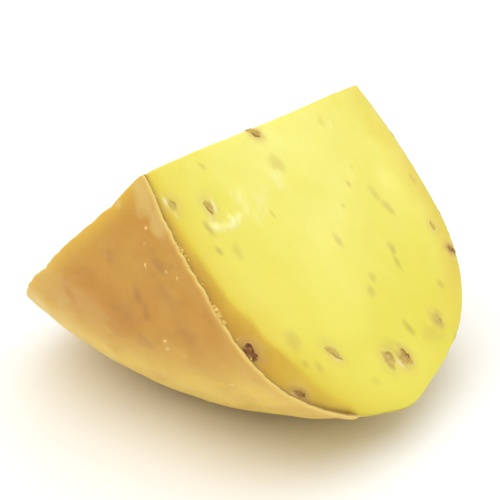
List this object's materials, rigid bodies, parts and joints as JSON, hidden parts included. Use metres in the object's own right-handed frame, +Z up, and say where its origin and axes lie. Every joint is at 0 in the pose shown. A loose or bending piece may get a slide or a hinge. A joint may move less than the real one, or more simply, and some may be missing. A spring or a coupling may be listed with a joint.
{
  "type": "cheese wedge",
  "caption": "Wedge of pale yellow semi-hard cheese with walnut, cut from a small wheel with a bulging coated rim, resting on its rim with the cut ridge uppermost.",
  "frame": {"origin": "middle of the flattened patch of rim that the wedge rests on, at the bottom of the whole box", "axes": "+Z up, along the middle of the wedge towards the cut ridge; +Y along the wheel's axis; +X towards the cut face that has the knife bevel beside its coat"},
  "size_m": [0.0958, 0.096, 0.064],
  "materials": {
    "paste": "freshly cut, oily, semi-hard cheese",
    "rind": "thin satin cheese coating, orange-brown and mottled",
    "walnut": "cut walnut kernel with dark skin"
  },
  "bodies": {
    "root": {"paste": "paste", "rind": "rind", "walnut_01": "walnut", "walnut_02": "walnut", "walnut_03": "walnut", "walnut_04": "walnut", "walnut_05": "walnut", "walnut_06": "walnut", "walnut_07": "walnut", "walnut_08": "walnut", "walnut_09": "walnut", "walnut_10": "walnut", "walnut_11": "walnut", "walnut_12": "walnut", "walnut_13": "walnut", "walnut_14": "walnut", "walnut_15": "walnut", "walnut_16": "walnut", "walnut_17": "walnut", "walnut_18": "walnut"}
  },
  "joints": []
}
